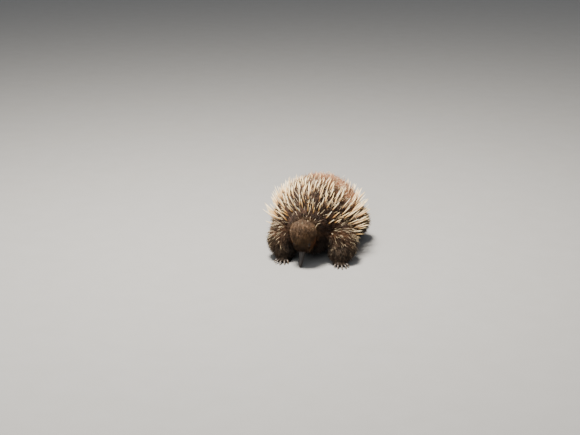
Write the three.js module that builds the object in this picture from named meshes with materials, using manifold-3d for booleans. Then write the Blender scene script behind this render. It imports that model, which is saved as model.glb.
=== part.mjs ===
// A life-size short-beaked echidna, standing with its beak to the ground, as a museum model.
// Millimetres, +Z up. It faces -Y and its left side is +X. The origin is on the floor, under the middle
// of the whole model's box.
import * as THREE from "three";
import { mergeVertices } from "three/addons/utils/BufferGeometryUtils.js";
import Module from "manifold-3d";

const wasm = await Module();
wasm.setup();

// Free space between two pieces that touch.
const GAP = 0.3;

// The bare trunk. Lengths run from its widest place, which is at y = middle.
const TRUNK = {
  middle: 30,
  front: 127,
  rear: 123,
  halfWidth: 89,
  up: 87,
  down: 50,
  level: 76,
  frontRise: 8,
  endRound: 2.2,
  backRound: 2,
  bellyRound: 2.5,
};
// The chest, which hangs between the forelegs.
const CHEST = { place: [0, -60, 49], halfWidth: 42, halfLength: 40, halfHeight: 31 };
// The dense underfur, which stands out so far from the bare trunk. The spines and locks grow out of it.
const UNDERFUR = { side: 7, up: 7, down: 9, front: 7, rear: 7 };
const LEG_UNDERFUR = 2;
// The coat of a leg ends this high above the floor.
const LEG_CLEARANCE = 4;
// The trunk is parted into a back and a belly at this height.
const SIDE_LINE = 58;
// The plane that parts the neck from the trunk: how far forward it stands at its foot, and its lean.
const NECK_CUT = { foot: -68, footHeight: 30, top: -100, topHeight: 116 };

// The head in its own frame, with the beak along -Y before it is turned down.
const HEAD = {
  place: [-6, -114, 77],
  pitch: 71,
  yaw: -6,
  front: 45,
  rear: 32,
  halfWidth: 31,
  up: 29,
  down: 26,
  endRound: 2.1,
  taper: 0.28,
};
const BEAK = { root: -30, length: 50, rise: 5, sink: -3, roundness: [14, 8.8, 6.4, 5.1, 4.3] };
// The nostrils and the mouth, near the tip of the beak, from its middle there.
const NOSTRIL = { half: [0.8, 1.8, 1.6], share: 0.93, out: 2.2, up: 3.6 };
const MOUTH = { width: 14, length: 11, height: 0.7, down: 2.4 };
const EYE = { radius: 4.2, place: [16.6, -26, 7.6] };
// The lids: a ring that lies on the head's surface, so far out from the middle of the eye.
const LIDS = { out: 2.9, radius: 3.9, thick: 1.4 };
const EAR = { place: [29, 2, -2], height: 10, depth: 6, width: 5, wall: 2 };
const TAIL = { root: [0, 128, 70], bend: [0, 164, 60], tip: [0, 188, 46], sizes: [28, 24, 11] };

// Each limb: the places and half thicknesses of its joints, from the body to the ankle.
const LIMBS = {
  foreleg_right: {
    joints: [[-53, -58, 74], [-66, -75, 49], [-61, -85, 25], [-58, -90, 12]],
    sizes: [27, 23, 18, 15],
    foot: [-57, -95, 0],
    heading: -6,
  },
  foreleg_left: {
    joints: [[55, -54, 74], [78, -71, 49], [79, -85, 25], [79, -91, 12]],
    sizes: [27, 23, 18, 15],
    foot: [80, -97, 0],
    heading: 18,
  },
  hindleg_right: {
    joints: [[-54, 62, 72], [-82, 70, 50], [-80, 80, 26], [-77, 86, 12]],
    sizes: [34, 30, 21, 15],
    foot: [-77, 91, 0],
    heading: 214,
  },
  hindleg_left: {
    joints: [[54, 84, 72], [78, 96, 50], [76, 106, 26], [73, 112, 12]],
    sizes: [34, 30, 21, 15],
    foot: [73, 117, 0],
    heading: 150,
  },
};
const FOOT = { halfLength: 18, halfWidth: 16, height: 15, centre: 4 };
// The claws of a forefoot and a hind foot, from the inner one out. flat is a claw's thickness for its width.
const CLAWS = {
  fore: { lengths: [15, 20, 23, 21, 16], halfWidth: 2.7, flat: 0.63, turns: [34, 17, 0, -17, -34] },
  hind: { lengths: [7, 34, 24, 15, 12], halfWidth: 2, flat: 0.8, turns: [40, 19, 0, -18, -36] },
};
const CLAW = { height: 6.5, sunk: 4, drop: 4.9, taper: [1, 0.95, 0.75, 0.25] };

// The spines, in rows round the back. A spine is thickest at its middle. It leans back from upright by so
// many degrees on the flank, on top, and at the nape and rump, and on the flanks it also lies upwards by
// the rise of its side. It has its full length from so far behind the nape. wander is how far round the
// back a row may shift.
const SPINE = {
  spacing: 15.6,
  sunk: 5,
  halfWidth: 2,
  sides: 3,
  rootShare: 0.75,
  lowest: 62,
  lengths: { nape: 27, top: 36, flank: 48 },
  growth: 60,
  leans: { flank: 44, top: 70, ends: 30 },
  rises: { left: 0.8, right: 1.1 },
  stray: 0.07,
  wander: 0.15,
};
// The locks of long fur that hang from the flanks, rump, legs and tail. Each is flat and tapers, and lean is
// how many degrees from upright it lies.
const LOCK = { sunk: 5, flat: 0.3, taper: [0.6, 1, 0.7, 0.15], lowest: 3.5, stray: 0.1, droop: 0.12 };
// The fringe hangs down and sweeps back by this much.
const SWEEP = 0.35;
// The fringe of the flanks and rump. In front it ends where the belly turns under the chest.
const FRINGE = {
  spacing: 15,
  length: 38,
  halfWidth: 8.5,
  chest: 0.45,
  rows: [{ height: 52, lean: 34 }, { height: 43, lean: 44 }, { height: 34, lean: 54 }],
};
// The locks of a leg or the tail: how far down it they grow, and the turns round it from its outer side.
const LEG_LOCKS = { shares: [0.5, 0.7], turns: [-70, -20, 30, 80], length: 27, halfWidth: 7.5, lean: 62 };
const ROW_TURN = 20;
const TAIL_LOCKS = { shares: [0.55, 0.8], turns: [-60, 0, 60], length: 22, halfWidth: 7, lean: 66 };

const COLOURS = {
  coat: "#7b5a40",
  skin: "#3b3029",
  eye: "#0b0908",
  claw: "#4a4038",
};
const MATERIALS = {
  coat: new THREE.MeshStandardMaterial({ color: COLOURS.coat, roughness: 0.9, metalness: 0 }),
  skin: new THREE.MeshStandardMaterial({ color: COLOURS.skin, roughness: 0.6, metalness: 0 }),
  eye: new THREE.MeshStandardMaterial({ color: COLOURS.eye, roughness: 0.1, metalness: 0 }),
  claw: new THREE.MeshStandardMaterial({ color: COLOURS.claw, roughness: 0.5, metalness: 0 }),
};

const rad = THREE.MathUtils.degToRad;
const signedPower = (value, power) => Math.sign(value) * Math.abs(value) ** power;

// A closed solid from a geometry whose doubled vertices are welded.
function solid(geometry) {
  const bare = geometry.clone();
  bare.deleteAttribute("normal");
  bare.deleteAttribute("uv");
  const welded = mergeVertices(bare, 1e-3);
  const triVerts = new Uint32Array(welded.index.array);
  const vertProperties = welded.attributes.position.array;
  const made = new wasm.Manifold(new wasm.Mesh({ numProp: 3, vertProperties, triVerts }));
  if (made.volume() > 0) return made;
  const turned = triVerts.map((_, i) => triVerts[i - (i % 3) + ((3 - (i % 3)) % 3)]);
  return new wasm.Manifold(new wasm.Mesh({ numProp: 3, vertProperties, triVerts: turned }));
}

// The geometry of a solid's largest closed surface.
function geometryOf(made) {
  const largest = made.decompose().sort((a, b) => b.volume() - a.volume())[0];
  const { vertProperties, triVerts } = largest.getMesh();
  const geometry = new THREE.BufferGeometry();
  geometry.setAttribute("position", new THREE.BufferAttribute(vertProperties, 3));
  geometry.setIndex(new THREE.BufferAttribute(triVerts, 1));
  geometry.computeVertexNormals();
  return geometry;
}

// A closed surface stretched over a ball: point(end, turn) gives a place, with end from -1 to 1
// along the form and turn the angle round it.
function wrap(around, along, point) {
  const ball = new THREE.SphereGeometry(1, around, along);
  const { position, uv } = ball.attributes;
  for (let i = 0; i < position.count; i++) {
    const polar = (1 - uv.getY(i)) * Math.PI;
    const pole = polar < 1e-6 || polar > Math.PI - 1e-6;
    const place = point(-Math.cos(polar), pole ? 0 : uv.getX(i) * 2 * Math.PI);
    position.setXYZ(i, place.x, place.y, place.z);
  }
  return solid(ball);
}

// A place on the trunk under a coat that stands out so far to each side.
function trunkPoint(end, turn, coat) {
  const n = 2 / TRUNK.endRound;
  const across = Math.sqrt(Math.max(0, 1 - end * end)) ** n;
  const reach = end < 0 ? TRUNK.front + coat.front : TRUNK.rear + coat.rear;
  const level = TRUNK.level + TRUNK.frontRise * Math.max(0, -end) ** 2;
  const upward = Math.sin(turn) > 0;
  const round = 2 / (upward ? TRUNK.backRound : TRUNK.bellyRound);
  const high = upward ? TRUNK.up + coat.up : TRUNK.down + coat.down;
  return new THREE.Vector3(
    (TRUNK.halfWidth + coat.side) * across * signedPower(Math.cos(turn), round),
    TRUNK.middle + reach * signedPower(end, n),
    level + high * across * signedPower(Math.sin(turn), round),
  );
}

// The trunk and chest in their underfur, standing out further by a gap.
function body(gap) {
  const coat = Object.fromEntries(Object.entries(UNDERFUR).map(([side, size]) => [side, size + gap]));
  const { place, halfWidth, halfLength, halfHeight } = CHEST;
  const chest = ellipsoid(halfWidth + gap, halfLength + gap, halfHeight + gap, 16, 10).translate(place);
  return wasm.Manifold.union([wrap(26, 20, (end, turn) => trunkPoint(end, turn, coat)), chest]);
}

// The head, egg-shaped and narrower towards the beak.
const head = (proud) =>
  wrap(16, 11, (end, turn) => {
    const n = 2 / HEAD.endRound;
    const across = Math.sqrt(Math.max(0, 1 - end * end)) ** n * (1 + HEAD.taper * end);
    const reach = (end < 0 ? HEAD.front : HEAD.rear) + proud;
    const high = (Math.sin(turn) > 0 ? HEAD.up : HEAD.down) + proud;
    return new THREE.Vector3(
      (HEAD.halfWidth + proud) * across * Math.cos(turn),
      reach * signedPower(end, n),
      high * across * Math.sin(turn),
    );
  });

// A form along a smooth curve through places, with a half width at each. Its ends are rounded, widthway
// is the direction that its width runs in, and flat is its thickness for its width.
function tube(places, sizes, { around, along, proud = 0, endRound = 5, flat = 1, widthway = [1, 0, 0] }) {
  const section = sectionsOf(places, sizes, widthway);
  return wrap(around, along, (end, turn) => {
    const { centre, size, lift, side } = section((end + 1) / 2);
    const across = (size + proud) * (1 - Math.abs(end) ** endRound) ** (1 / endRound);
    return centre
      .addScaledVector(side, across * Math.cos(turn))
      .addScaledVector(lift, across * flat * Math.sin(turn));
  });
}

// What a tube has at a share of its length: its centre, half width and directions.
function sectionsOf(places, sizes, widthway) {
  const curve = new THREE.CatmullRomCurve3(places.map((p) => new THREE.Vector3(...p)));
  const reference = new THREE.Vector3(...widthway);
  return (share) => {
    const step = share * (sizes.length - 1);
    const i = Math.min(sizes.length - 2, Math.floor(step));
    const size = THREE.MathUtils.lerp(sizes[i], sizes[i + 1], step - i);
    const tangent = curve.getTangent(share);
    const lift = new THREE.Vector3().crossVectors(tangent, reference).normalize();
    const side = new THREE.Vector3().crossVectors(lift, tangent).normalize();
    return { centre: curve.getPoint(share), size, tangent, lift, side };
  };
}

const ellipsoid = (x, y, z, around = 12, along = 8) =>
  solid(new THREE.SphereGeometry(1, around, along)).scale([x, y, z]);

const animal = new THREE.Group();

// Adds a named mesh to a group.
function addNode(group, name, made, material) {
  const mesh = new THREE.Mesh(geometryOf(made), MATERIALS[material]);
  mesh.name = name;
  group.add(mesh);
}

// A group at a place in its parent, pitched nose down and turned about the upright.
function groupAt(parent, place, pitch, turn) {
  const group = new THREE.Group();
  group.position.set(...place);
  group.rotation.set(rad(pitch), 0, rad(turn), "ZXY");
  parent.add(group);
  group.updateWorldMatrix(true, false);
  return group;
}

const toWorld = (made, group) => made.transform(group.matrixWorld.elements);
const toLocal = (made, group) => made.transform(group.matrixWorld.clone().invert().elements);

// The limbs, with their feet and claws.
function foot(proud) {
  const { halfLength, halfWidth, height, centre } = FOOT;
  return ellipsoid(halfWidth + proud, halfLength + proud, height + proud)
    .translate([0, 0, centre])
    .trimByPlane([0, 0, 1], -proud);
}

function claw(length, { halfWidth, flat }) {
  const front = -FOOT.halfLength;
  const places = [
    [0, front + CLAW.sunk, 0],
    [0, front - length * 0.5, 1],
    [0, front - length, -CLAW.drop],
  ];
  return tube(places, CLAW.taper.map((share) => share * halfWidth), { around: 5, along: 5, flat });
}

// The legs by name, and all the solids that a spine or lock must stay clear of, in the animal's frame.
const legs = {};
const clearances = [];

function addLimb(name, limb) {
  const [pair, side] = name.split("leg_");
  const footGroup = groupAt(animal, limb.foot, 0, limb.heading);
  addNode(footGroup, `${pair}foot_${side}`, foot(0), "coat");
  const footHere = toWorld(foot(GAP), footGroup);
  clearances.push(footHere);
  legs[name] = tube(limb.joints, limb.sizes, { around: 12, along: 9, proud: LEG_UNDERFUR })
    .trimByPlane([0, 0, 1], LEG_CLEARANCE)
    .subtract(footHere)
    .subtract(body(GAP));
  const claws = CLAWS[pair];
  claws.lengths.forEach((length, i) => {
    const turn = claws.turns[i] * (side === "left" ? -1 : 1);
    const clawGroup = groupAt(footGroup, [0, 0, CLAW.height], 0, turn);
    const made = claw(length, claws).subtract(toLocal(footHere, clawGroup));
    clearances.push(toWorld(made, clawGroup));
    addNode(clawGroup, `claw_${pair}_${side}_${i + 1}`, made, "claw");
  });
}

for (const [name, limb] of Object.entries(LIMBS)) addLimb(name, limb);

// The head, with its beak, eyes and ears.
const headGroup = groupAt(animal, HEAD.place, HEAD.pitch, HEAD.yaw);

// The beak bends a little upwards towards its tip.
const beak = (proud) => {
  const { root, length, rise, roundness } = BEAK;
  const places = [0, 0.35, 0.7, 1].map((share) => [0, root - length * share, BEAK.sink + rise * share ** 2]);
  return tube(places, roundness, { around: 12, along: 9, proud, endRound: 4 });
};

function nostrilsAndMouth() {
  const { root, length, rise, sink } = BEAK;
  const height = sink + rise;
  const nostril = (side) =>
    ellipsoid(...NOSTRIL.half, 8, 6).translate([
      side * NOSTRIL.out,
      root - length * NOSTRIL.share,
      height + NOSTRIL.up,
    ]);
  const mouth = solid(new THREE.BoxGeometry(MOUTH.width, MOUTH.length, MOUTH.height));
  return wasm.Manifold.union([
    nostril(-1),
    nostril(1),
    mouth.translate([0, root - length, height - MOUTH.down]),
  ]);
}

const eyeBall = (side, proud) => {
  const [x, y, z] = EYE.place;
  const radius = EYE.radius + proud;
  return ellipsoid(radius, radius, radius, 10, 6).translate([side * x, y, z]);
};

// The lids stand round each eye as a low ring.
function lids(side) {
  const [x, y, z] = EYE.place;
  const outward = new THREE.Vector3(side * x, y * 0.35, z * 0.9).normalize();
  const centre = new THREE.Vector3(side * x, y, z).addScaledVector(outward, LIDS.out);
  const ring = new THREE.TorusGeometry(LIDS.radius, LIDS.thick, 4, 10);
  ring.applyQuaternion(new THREE.Quaternion().setFromUnitVectors(new THREE.Vector3(0, 0, 1), outward));
  ring.translate(centre.x, centre.y, centre.z);
  return solid(ring);
}

// The cup of the ear is a low upright slit with a rim.
function ear(side, proud = 0) {
  const { place, height, depth, width, wall } = EAR;
  const outside = ellipsoid(width + proud, depth + proud, height + proud, 8, 8);
  const inside = ellipsoid(width, depth - wall, height - wall, 8, 6).translate([wall, -0.6, 0]);
  const cup = proud > 0 ? outside : outside.subtract(inside);
  return cup.scale([side, 1, 1]).translate([side * place[0], place[1], place[2]]);
}

const headWithLids = wasm.Manifold.union([head(0), lids(1), lids(-1)])
  .subtract(eyeBall(1, GAP))
  .subtract(eyeBall(-1, GAP));
addNode(headGroup, "head", headWithLids, "coat");
addNode(headGroup, "beak", beak(0).subtract(head(GAP)).subtract(nostrilsAndMouth()), "skin");
for (const [name, side] of [["left", 1], ["right", -1]]) {
  addNode(headGroup, "eye_" + name, eyeBall(side, 0), "eye");
  addNode(headGroup, "ear_" + name, ear(side).subtract(head(GAP)), "coat");
}

// The trunk, parted into neck, back and belly.
const slope = new THREE.Vector3(0, NECK_CUT.topHeight - NECK_CUT.footHeight, NECK_CUT.foot - NECK_CUT.top);
slope.normalize();
const slopeOffset = slope.dot(new THREE.Vector3(0, NECK_CUT.foot, NECK_CUT.footHeight));
const headHere = toWorld(wasm.Manifold.union([head(GAP), ear(1, GAP), ear(-1, GAP)]), headGroup);
const core = body(0).subtract(headHere);
const neck = core.trimByPlane(slope.clone().negate().toArray(), -slopeOffset);
const behindNeck = core.trimByPlane(slope.toArray(), slopeOffset + GAP);
const backCore = behindNeck.trimByPlane([0, 0, 1], SIDE_LINE + GAP);
const bellyCore = behindNeck.trimByPlane([0, 0, -1], -SIDE_LINE);
const tailCore = tube([TAIL.root, TAIL.bend, TAIL.tip], TAIL.sizes, { around: 12, along: 8 })
  .subtract(body(GAP));
clearances.push(headHere, neck);

// A seeded random draw from -1 to 1.
let seed = 11;
function draw() {
  seed = (seed * 16807) % 2147483647;
  return (seed / 2147483647) * 2 - 1;
}

// Values between two ends whose points lie a spacing apart.
function evenly(from, to, spacing, point) {
  const values = [];
  const steps = 600;
  let last = point(from);
  for (let step = 1; step <= steps; step++) {
    const value = THREE.MathUtils.lerp(from, to, step / steps);
    if (point(value).distanceTo(last) < spacing) continue;
    values.push(value);
    last = point(value);
  }
  return values;
}

// A place on the underfur, with the directions out of it and back along it.
function surfaceAt(end, turn) {
  const small = 1e-3;
  const place = trunkPoint(end, turn, UNDERFUR);
  const along = trunkPoint(end + small, turn, UNDERFUR).sub(trunkPoint(end - small, turn, UNDERFUR));
  const round = trunkPoint(end, turn + small, UNDERFUR).sub(trunkPoint(end, turn - small, UNDERFUR));
  const out = along.cross(round).normalize();
  if (out.dot(new THREE.Vector3(place.x, place.y - TRUNK.middle, place.z - TRUNK.level)) < 0) out.negate();
  return { place, out };
}

// The part of a direction that runs along a surface.
const flattened = (direction, out) => direction.clone().addScaledVector(out, -direction.dot(out)).normalize();

// A direction that leans from upright by degrees towards another, and strays a little.
function leaning(out, towards, degrees, stray) {
  return new THREE.Vector3()
    .addScaledVector(out, Math.cos(rad(degrees)))
    .addScaledVector(towards, Math.sin(rad(degrees)))
    .add(new THREE.Vector3(draw(), draw(), draw()).multiplyScalar(stray))
    .normalize();
}

// The core with every growth fused to it that is clear of all the others.
function grown(core, growths, others) {
  const clear = growths.filter(({ wide }) => others.every((other) => wide.intersect(other).isEmpty()));
  return wasm.Manifold.union([core, ...clear.map(({ made }) => made)]);
}

// One spine, from the root upwards along +Y.
function spineShape() {
  const cone = new THREE.ConeGeometry(1, 1, SPINE.sides, 2).translate(0, 0.5, 0);
  const { position } = cone.attributes;
  for (let i = 0; i < position.count; i++) {
    const swell = position.getY(i) < 0.1 ? SPINE.rootShare : 2;
    position.setX(i, position.getX(i) * swell);
    position.setZ(i, position.getZ(i) * swell);
  }
  return solid(cone);
}

const unitSpine = spineShape();
function spine(place, direction, length, proud) {
  const turned = new THREE.Quaternion().setFromUnitVectors(new THREE.Vector3(0, 1, 0), direction);
  const root = place.clone().addScaledVector(direction, -SPINE.sunk);
  const width = SPINE.halfWidth + proud * 2;
  const scale = new THREE.Vector3(width, length + SPINE.sunk + proud * 4, width);
  return unitSpine.transform(new THREE.Matrix4().compose(root, turned, scale).elements);
}

// The rows of spines run round the back, one behind another from the nape to the rump.
function spines() {
  const rows = evenly(-1, 1, SPINE.spacing, (end) => trunkPoint(end, Math.PI / 2, UNDERFUR));
  return rows.flatMap((end) => {
    const start = -Math.PI / 2 + SPINE.wander * draw();
    const point = (turn) => trunkPoint(end, turn, UNDERFUR);
    const turns = evenly(start, start + 2 * Math.PI, SPINE.spacing, point);
    return turns.flatMap((turn) => {
      const { place, out } = surfaceAt(end, turn);
      const fromNape = slope.dot(place) - slopeOffset;
      if (place.z < SPINE.lowest || fromNape < SPINE.sunk) return [];
      const beside = Math.abs(out.x);
      const rise = beside * (out.x > 0 ? SPINE.rises.left : SPINE.rises.right);
      const lie = flattened(new THREE.Vector3(0, 1, rise), out);
      const { leans, lengths } = SPINE;
      const middle = THREE.MathUtils.lerp(leans.flank, leans.top, Math.max(0, out.z));
      const direction = leaning(out, lie, THREE.MathUtils.lerp(middle, leans.ends, out.y ** 2), SPINE.stray);
      const share = THREE.MathUtils.smoothstep(beside, 0.3, 0.8);
      const full = THREE.MathUtils.lerp(lengths.top, lengths.flank, share);
      const grownLength = THREE.MathUtils.lerp(lengths.nape, full, Math.min(1, fromNape / SPINE.growth));
      const length = grownLength * (1 + SPINE.stray * draw());
      return [{ made: spine(place, direction, length, 0), wide: spine(place, direction, length, GAP) }];
    });
  });
}

// One lock, rooted at a place and bending from its first direction towards the ground.
function lock(place, out, direction, { length, halfWidth }, proud) {
  const root = place.clone().addScaledVector(out, -LOCK.sunk);
  const middle = place.clone().addScaledVector(direction, length * 0.5);
  const tip = place.clone().addScaledVector(direction, length);
  tip.z -= length * LOCK.droop;
  const places = [root, place, middle, tip].map(({ x, y, z }) => [x, y, Math.max(z, LOCK.lowest)]);
  const sizes = LOCK.taper.map((share) => share * halfWidth);
  const widthway = new THREE.Vector3().crossVectors(out, direction).normalize().toArray();
  return tube(places, sizes, { around: 4, along: 4, proud, flat: LOCK.flat, widthway });
}

function lockAt(place, out, lie, { length, halfWidth, lean }) {
  const direction = leaning(out, lie, lean, LOCK.stray);
  const size = { length: length * (1 + LOCK.stray * draw()), halfWidth };
  return { made: lock(place, out, direction, size, 0), wide: lock(place, out, direction, size, GAP * 2) };
}

// The turn at which the belly's underfur lies at a height, or the lowest where it ends above that.
function turnAtHeight(end, height) {
  const drop = TRUNK.level + TRUNK.frontRise * Math.max(0, -end) ** 2 - height;
  const across = Math.sqrt(Math.max(0, 1 - end * end)) ** (2 / TRUNK.endRound);
  const share = Math.min(1, drop / ((TRUNK.down + UNDERFUR.down) * across));
  return -Math.asin(share ** (TRUNK.bellyRound / 2));
}

// The fringe hangs from the flanks and rump in rows, one below another.
function fringe() {
  const sweep = new THREE.Vector3(0, SWEEP, -1);
  return FRINGE.rows.flatMap(({ height, lean }, row) =>
    [1, -1].flatMap((side) => {
      const turnAt = (end) => (side > 0 ? turnAtHeight(end, height) : Math.PI - turnAtHeight(end, height));
      const point = (end) => trunkPoint(end, turnAt(end), UNDERFUR);
      const first = -0.9 + (row % 2) * (FRINGE.spacing / (2 * TRUNK.front));
      return evenly(first, 0.98, FRINGE.spacing, point).flatMap((end) => {
        const { place, out } = surfaceAt(end, turnAt(end));
        if (out.y < 0 && Math.abs(out.x) < FRINGE.chest) return [];
        return [lockAt(place, out, flattened(sweep, out), { ...FRINGE, lean })];
      });
    }),
  );
}

// The locks along a leg or the tail, on its outer and rear sides.
function feathering(places, sizes, side, { shares, turns, ...look }) {
  const section = sectionsOf(places, sizes, [1, 0, 0]);
  return shares.flatMap((share, row) =>
    turns.map((degrees) => {
      const turn = rad(degrees + row * ROW_TURN);
      const at = section(share);
      const out = at.side.multiplyScalar(Math.cos(turn) * side).addScaledVector(at.lift, -Math.sin(turn));
      return lockAt(at.centre.addScaledVector(out, at.size + LEG_UNDERFUR), out, at.tangent, look);
    }),
  );
}

const legCores = Object.values(legs);
const back = grown(backCore, spines(), [...clearances, ...legCores, tailCore, bellyCore]);
const belly = grown(bellyCore, fringe(), [...clearances, ...legCores, tailCore, back]);
addNode(animal, "neck", neck, "coat");
addNode(animal, "back", back, "coat");
addNode(animal, "belly", belly, "coat");
clearances.push(back, belly);
for (const [name, { joints, sizes }] of Object.entries(LIMBS)) {
  const locks = feathering(joints, sizes, name.endsWith("left") ? 1 : -1, LEG_LOCKS);
  addNode(animal, name, grown(legs[name], locks, clearances), "coat");
}
const tailLocks = feathering([TAIL.root, TAIL.bend, TAIL.tip], TAIL.sizes, 1, TAIL_LOCKS);
addNode(animal, "tail", grown(tailCore, tailLocks, clearances), "coat");

// The whole stands with the middle of its box over the origin.
const middle = new THREE.Box3().setFromObject(animal, true).getCenter(new THREE.Vector3());
animal.position.set(-middle.x, -middle.y, 0);
const echidna = new THREE.Group();
echidna.add(animal);

export default echidna;
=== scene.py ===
# A life-size short-beaked echidna, standing with its beak to the ground.
# The animal's forms are worked out in millimetres, in the frame that its solids were made in: it faces -Y
# and its left side is +X. Each piece is then moved to the solids' place and turned to metres.
import math

import bpy
import numpy as np
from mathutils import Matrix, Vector
from mathutils.bvhtree import BVHTree


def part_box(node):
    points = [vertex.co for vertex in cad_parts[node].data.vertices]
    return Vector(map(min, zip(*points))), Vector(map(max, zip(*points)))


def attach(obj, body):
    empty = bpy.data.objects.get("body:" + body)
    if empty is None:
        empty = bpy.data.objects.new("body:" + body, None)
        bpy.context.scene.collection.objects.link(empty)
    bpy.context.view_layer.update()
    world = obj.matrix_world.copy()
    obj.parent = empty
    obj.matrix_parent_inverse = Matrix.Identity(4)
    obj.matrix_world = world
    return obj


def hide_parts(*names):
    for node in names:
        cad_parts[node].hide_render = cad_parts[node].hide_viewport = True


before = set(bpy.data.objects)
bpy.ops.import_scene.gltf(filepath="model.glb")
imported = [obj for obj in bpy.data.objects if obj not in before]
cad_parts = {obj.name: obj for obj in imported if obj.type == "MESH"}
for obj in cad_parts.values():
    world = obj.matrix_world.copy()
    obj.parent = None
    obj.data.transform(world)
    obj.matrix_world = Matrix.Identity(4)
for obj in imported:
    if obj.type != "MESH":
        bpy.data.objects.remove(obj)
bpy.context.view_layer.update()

MM = 0.001
random = np.random.default_rng(4)

# The bare trunk. Lengths run from its widest place, at y = middle.
TRUNK = dict(middle=30, front=127, rear=123, half_width=89, up=87, down=50, level=76, front_rise=8)
TRUNK_ROUND = dict(end=2.2, back=2.0, belly=2.5)
CHEST = dict(place=(0, -60, 49), radii=(35, 33, 24))
# The solids' underfur stands out so far from the bare trunk.
UNDERFUR = 7
# The neck is cut from the trunk by a plane through these two places, as (y, z).
NECK_FOOT = (-68, 30)
NECK_TOP = (-100, 116)

# The head in its own frame, with the beak along -Y before it is turned down.
HEAD = dict(place=(-6, -114, 77), pitch=71, yaw=-6, front=43, rear=29, half_width=26, up=25, down=23)
HEAD_ROUND = 2.1
HEAD_TAPER = 0.02
BEAK = dict(root=-30, length=50, rise=5, sink=-3, sizes=(13.5, 8.6, 6.3, 5.1, 4.3))
NOSTRIL = dict(share=0.93, out=2.2, radius=1.5, depth=1.3)
MOUTH = dict(length=12, down=2.0, half_height=0.5, depth=0.8)
EYE = dict(radius=4.2, place=(16.6, -26, 7.6), bare=6.4)
# The lids: how many degrees from the way the eye faces their edges and roots lie, and their thickness.
LIDS = dict(corner=58, above=30, below=40, root=88, thick=0.9)
EAR = dict(place=(25.5, 2, -2), height=8.5, depth=3.6, thick=1.5, bare=7.5)
NECK = dict(places=((-2, -58, 90), (-5, -90, 86), (-6, -112, 80)), sizes=(45, 35, 24))
TAIL = dict(places=((0, 128, 70), (0, 164, 60), (0, 188, 46)), sizes=(26, 22, 9))

# Each limb: the places and half thicknesses of its joints, from the body to the ankle.
FORE_SIZES = (27, 23, 18, 15)
HIND_SIZES = (34, 30, 21, 15)
LIMBS = {
    "foreleg_right": dict(
        places=((-53, -58, 74), (-66, -75, 49), (-61, -85, 25), (-58, -90, 12)),
        sizes=FORE_SIZES, foot=(-57, -95, 0), heading=-6,
    ),
    "foreleg_left": dict(
        places=((55, -54, 74), (78, -71, 49), (79, -85, 25), (79, -91, 12)),
        sizes=FORE_SIZES, foot=(80, -97, 0), heading=18,
    ),
    "hindleg_right": dict(
        places=((-54, 62, 72), (-82, 70, 50), (-80, 80, 26), (-77, 86, 12)),
        sizes=HIND_SIZES, foot=(-77, 91, 0), heading=214,
    ),
    "hindleg_left": dict(
        places=((54, 84, 72), (78, 96, 50), (76, 106, 26), (73, 112, 12)),
        sizes=HIND_SIZES, foot=(73, 117, 0), heading=150,
    ),
}
FOOT = dict(half_length=18, half_width=16, height=15, centre=4)
TOE = dict(half_length=7, half_width=4.6, height=4.6, reach=15.5)
CLAWS = {
    "fore": dict(lengths=(15, 20, 23, 21, 16), half_width=2.7, flat=0.63, turns=(34, 17, 0, -17, -34)),
    "hind": dict(lengths=(7, 34, 24, 15, 12), half_width=2.0, flat=0.8, turns=(40, 19, 0, -18, -36)),
}
CLAW = dict(height=6.5, sunk=6, drop=4.9, taper=(1, 0.95, 0.75, 0.2))

# The spines: their spacing, radius and lengths, and how many degrees they lean back from upright.
SPINE = dict(spacing=13.2, radius=1.45, nape=27, top=36, flank=50, growth=60, sides=6)
SPINE_LEANS = dict(flank=46, top=73, ends=30)
# How far the spines of each flank lie upwards as well as back.
SPINE_RISE = dict(left=0.8, right=1.1)
# The lowest roots of the spines of each flank.
SPINE_LOWEST = dict(left=50, right=66)

# The camera: its turn about the animal and its height in degrees, and the sizes of its picture.
CAMERA = dict(azimuth=12, elevation=18, distance=3.23, lens=80.2, sensor=36)
PICTURE = (580, 435)
MM_PER_PIXEL = 2.5
# Where the picture shows the place on the floor under the middle of the shoulders.
PICTURE_PLACE = (315, 249)


# The places of the animal

left_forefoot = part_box("forefoot_left")
foot_middle = (left_forefoot[0] + left_forefoot[1]) / 2 / MM
OFFSET = np.array([
    foot_middle.x - LIMBS["foreleg_left"]["foot"][0],
    foot_middle.y - LIMBS["foreleg_left"]["foot"][1],
    0.0,
])


def normalized(vectors):
    return vectors / np.maximum(np.linalg.norm(vectors, axis=-1, keepdims=True), 1e-9)


def dot(a, b):
    return np.sum(a * b, axis=-1, keepdims=True)


def mix(a, b, share):
    return a + (b - a) * share


def smooth_step(low, high, values):
    """0 where values are at low or beyond it, 1 at high or beyond it, and smooth between."""
    share = np.clip((values - low) / (high - low), 0, 1)
    return share * share * (3 - 2 * share)


def signed_power(values, power):
    return np.sign(values) * np.abs(values) ** power


def rotation(pitch, yaw):
    """The turn of a frame that is pitched nose down and then turned about the upright."""
    p, y = math.radians(pitch), math.radians(yaw)
    nod = np.array([[1, 0, 0], [0, math.cos(p), -math.sin(p)], [0, math.sin(p), math.cos(p)]])
    spin = np.array([[math.cos(y), -math.sin(y), 0], [math.sin(y), math.cos(y), 0], [0, 0, 1]])
    return spin @ nod


def turned(points, place, pitch, yaw):
    return points @ rotation(pitch, yaw).T + np.array(place)


def on_head(points):
    return turned(np.asarray(points, float), HEAD["place"], HEAD["pitch"], HEAD["yaw"])


def head_frame(points):
    """Points of the animal in the head's own frame."""
    return (points - np.array(HEAD["place"])) @ rotation(HEAD["pitch"], HEAD["yaw"])


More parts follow.
